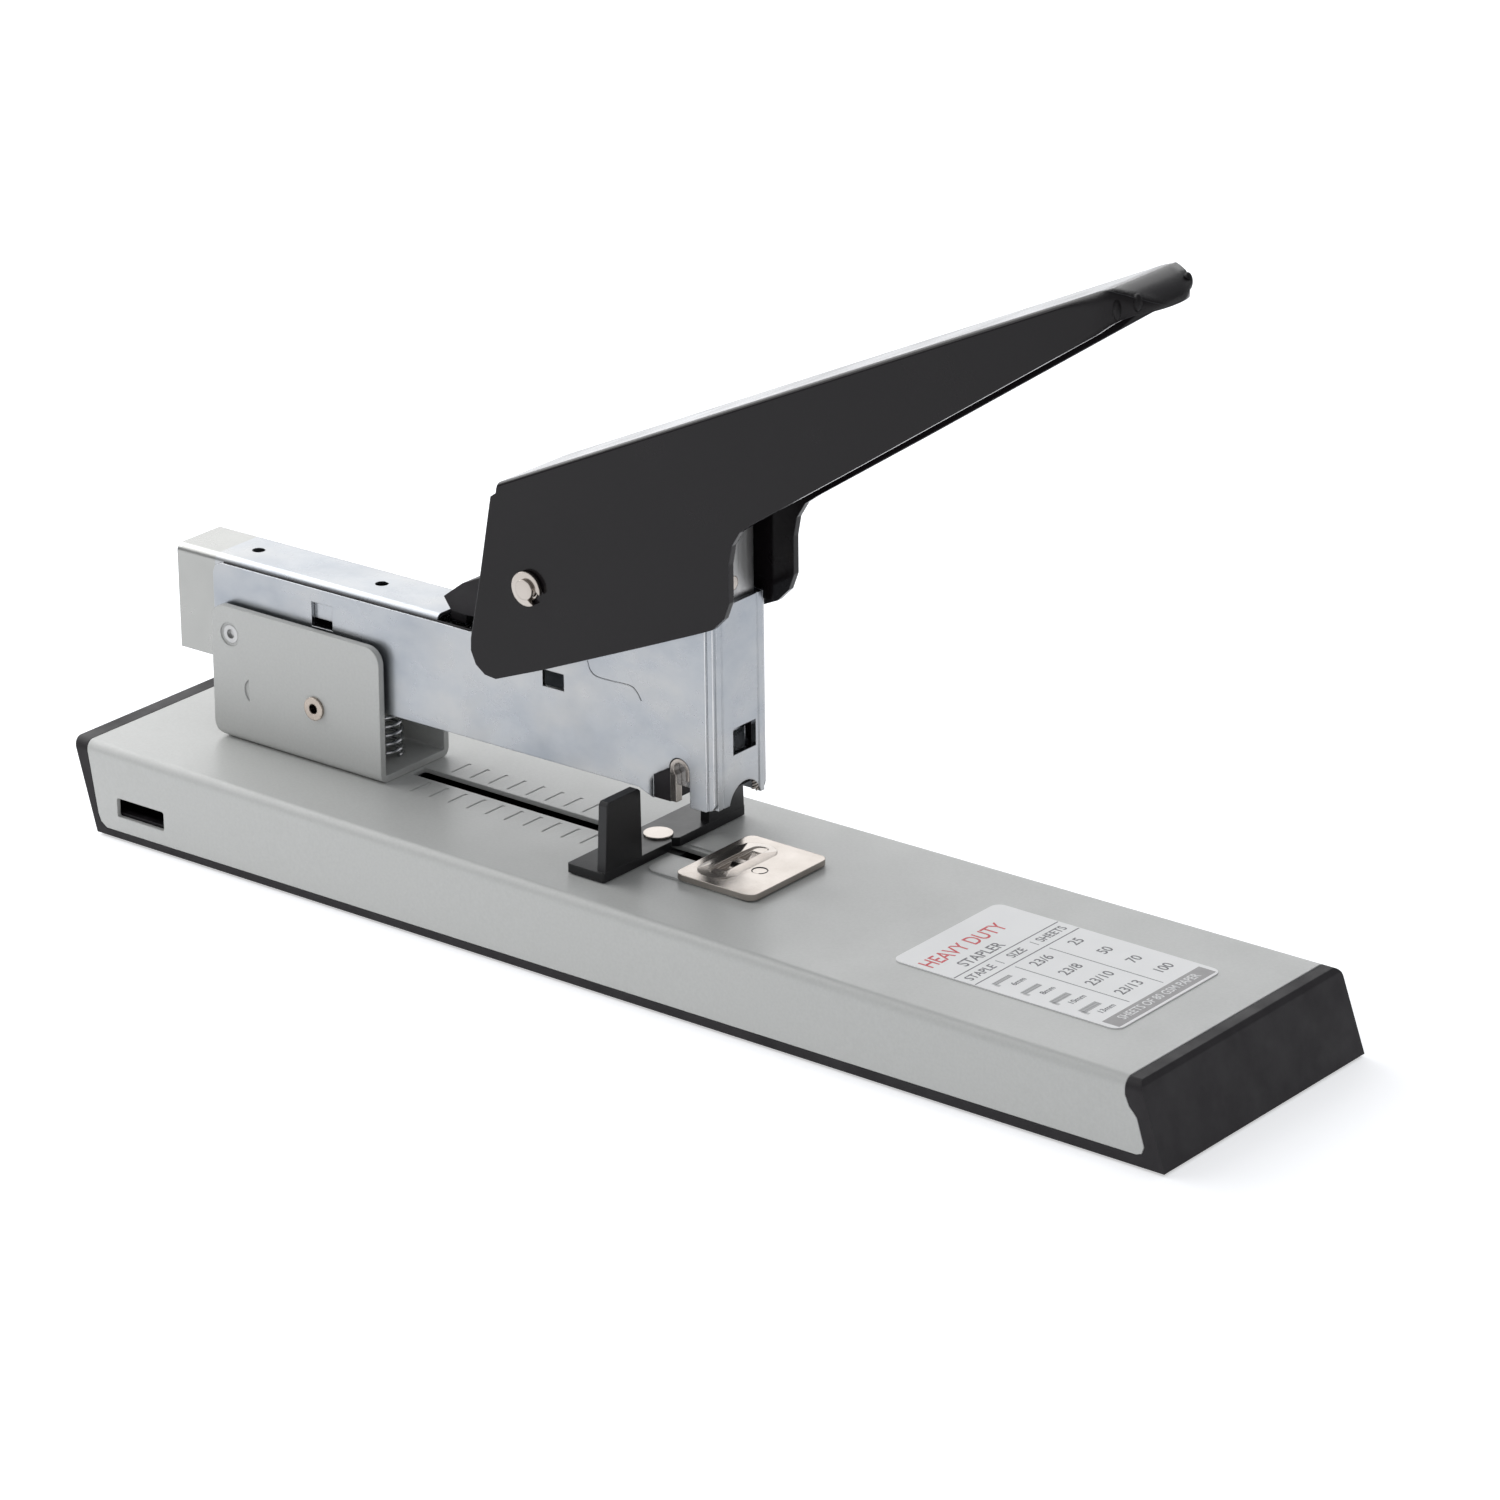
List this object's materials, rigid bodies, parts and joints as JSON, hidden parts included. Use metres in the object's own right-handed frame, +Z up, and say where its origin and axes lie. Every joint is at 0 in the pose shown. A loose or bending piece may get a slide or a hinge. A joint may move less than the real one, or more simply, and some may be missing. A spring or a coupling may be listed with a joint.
{
  "type": "desk stapler",
  "caption": "Heavy duty stapler: long sheet-metal base, hinged head with sliding magazine, raised press handle, driver, anvil, sliding paper guide and latch.",
  "frame": {"origin": "middle of the footprint, on the surface the base stands on", "axes": "+X to the front, where the handle's grip and the label are; +Z up"},
  "size_m": [0.28, 0.0674, 0.1599],
  "materials": {
    "black_plastic": "fine-textured black moulding",
    "foot_rubber": "matt rubber",
    "grey_paint": "light warm grey powder coat with a fine speckle",
    "label_film": "white film printed in dark grey",
    "zinc_steel": "bluish zinc plate, slightly mottled",
    "plain_steel": "bare ground steel",
    "spring_steel": "bright drawn wire",
    "nickel": "warm nickel plate",
    "copper_nickel": "coppery nickel plate",
    "black_steel": "satin black paint",
    "black_lacquer": "satin black lacquer"
  },
  "bodies": {
    "base": {"base_tray": "black_plastic", "rubber_feet": "foot_rubber", "base_screws": "zinc_steel", "base_cover": "grey_paint", "cross_straps": "zinc_steel", "size_label": "label_film", "hinge_bracket": "grey_paint", "bracket_rivets": "zinc_steel", "hinge_pins": "plain_steel", "stop_rivet": "copper_nickel", "lift_spring": "spring_steel", "anvil_plate": "nickel", "anvil_rivet": "nickel", "anvil_support": "zinc_steel"},
    "guide": {"paper_guide": "black_steel", "guide_rivet": "nickel", "guide_clamp": "spring_steel"},
    "head": {"head_casing": "zinc_steel", "nose_plate": "zinc_steel", "nose_insert": "black_plastic", "nose_clips": "nickel", "spring_seat": "zinc_steel", "pivot_pin": "nickel", "pivot_spacers": "plain_steel", "e_clips": "nickel", "return_spring": "spring_steel", "latch_pin": "plain_steel", "latch_spring": "spring_steel"},
    "handle": {"handle": "black_lacquer", "push_lugs": "plain_steel"},
    "driver": {"driver_carrier": "plain_steel", "driver_blade": "plain_steel", "driver_rivet": "nickel", "drive_pin": "plain_steel"},
    "magazine": {"magazine_channel": "zinc_steel", "staple_rail": "zinc_steel", "pusher_rod": "plain_steel", "pusher_spring": "spring_steel"},
    "pusher": {"pusher": "black_plastic", "pusher_saddle": "zinc_steel"},
    "latch": {"latch_lever": "black_plastic"}
  },
  "joints": [
    {"name": "guide_slide", "type": "slide", "parent": "base", "child": "guide", "axis": [0.9999, 0, -0.0102], "range_m": [-0.058, 0.0004]},
    {"name": "head_press", "type": "hinge", "parent": "base", "child": "head", "pos_m": [-0.1124, 0, 0.0437], "axis": [0, 1, 0], "range_deg": [0, 4.8], "stiffness_Nm_per_rad": 3, "springref_deg": -20.05, "deforming": ["lift_spring"]},
    {"name": "handle_press", "type": "hinge", "parent": "head", "child": "handle", "pos_m": [-0.03, 0, 0.0722], "axis": [0, 1, 0], "range_deg": [0, 28], "stiffness_Nm_per_rad": 1.2, "springref_deg": -20.05},
    {"name": "driver_stroke", "type": "slide", "parent": "head", "child": "driver", "axis": [0, 0, -1], "range_m": [0, 0.0165]},
    {"name": "magazine_slide", "type": "slide", "parent": "head", "child": "magazine", "axis": [-1, 0, 0], "range_m": [0, 0.085]},
    {"name": "pusher_slide", "type": "slide", "parent": "magazine", "child": "pusher", "axis": [-1, 0, 0], "range_m": [0, 0.095], "stiffness_N_per_m": 30, "springref_m": -0.05, "deforming": ["pusher_spring"]},
    {"name": "latch_lift", "type": "hinge", "parent": "head", "child": "latch", "pos_m": [-0.0375, 0, 0.064], "axis": [0, 1, 0], "range_deg": [0, 12], "stiffness_Nm_per_rad": 0.05, "springref_deg": -17.19}
  ],
  "couplings": [
    {"joint": "driver_stroke", "follows": "handle_press", "m_per_rad": 0.033672}
  ]
}
